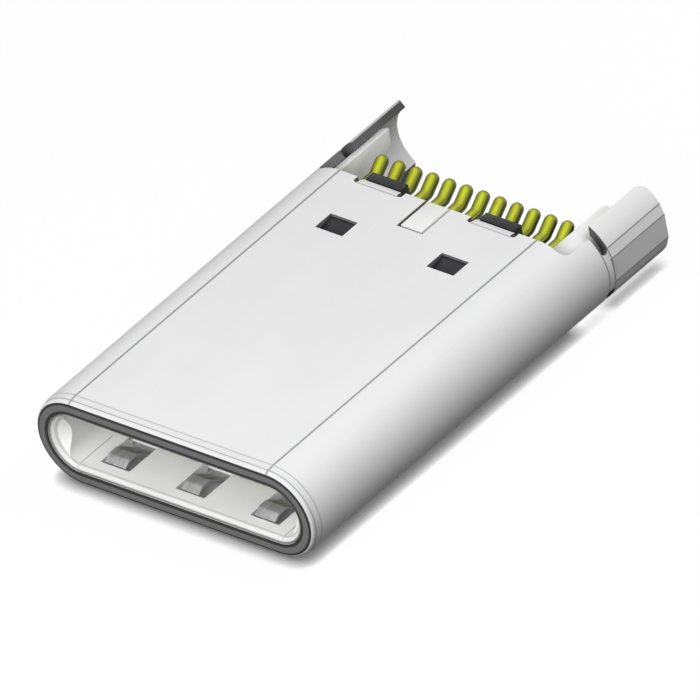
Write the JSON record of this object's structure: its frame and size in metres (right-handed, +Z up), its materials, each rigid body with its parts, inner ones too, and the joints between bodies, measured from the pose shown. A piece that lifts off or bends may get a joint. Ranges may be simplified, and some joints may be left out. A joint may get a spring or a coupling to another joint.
{
  "type": "usb-c plug",
  "caption": "Reversible flat cable plug: round-ended drawn metal shell round a slotted housing, with sprung contacts, side latches, and flared gold tails that clip a thin board.",
  "frame": {"origin": "centre of the footprint, on the ground plane under the lower flat face", "axes": "+Y from the mouth to the tails, +X across the plug, +Z up through the upper flat face"},
  "size_m": [0.0082, 0.013, 0.0024],
  "materials": {
    "shell_metal": "bright satin nickel over drawn stainless sheet",
    "housing_plastic": "fine moulded matt, light grey",
    "carrier_plastic": "fine moulded matt, black",
    "insulator_plastic": "fine moulded matt, white",
    "spring_steel": "rolled spring steel, satin",
    "contact_gold": "bright yellow gold plating on copper alloy"
  },
  "bodies": {
    "root": {"shell": "shell_metal", "front_housing": "housing_plastic", "upper_carrier": "carrier_plastic", "lower_carrier": "carrier_plastic", "rear_insulator": "insulator_plastic", "latch_plate": "spring_steel", "upper_emi_spring": "spring_steel", "lower_emi_spring": "spring_steel", "upper_contact_1": "contact_gold", "upper_contact_2": "contact_gold", "upper_contact_3": "contact_gold", "upper_contact_4": "contact_gold", "upper_contact_5": "contact_gold", "upper_contact_6": "contact_gold", "upper_contact_7": "contact_gold", "upper_contact_8": "contact_gold", "upper_contact_9": "contact_gold", "upper_contact_10": "contact_gold", "upper_contact_11": "contact_gold", "upper_contact_12": "contact_gold", "lower_contact_1": "contact_gold", "lower_contact_2": "contact_gold", "lower_contact_3": "contact_gold", "lower_contact_4": "contact_gold", "lower_contact_5": "contact_gold", "lower_contact_6": "contact_gold", "lower_contact_7": "contact_gold", "lower_contact_8": "contact_gold", "lower_contact_9": "contact_gold", "lower_contact_10": "contact_gold", "lower_contact_11": "contact_gold", "lower_contact_12": "contact_gold"}
  },
  "joints": []
}
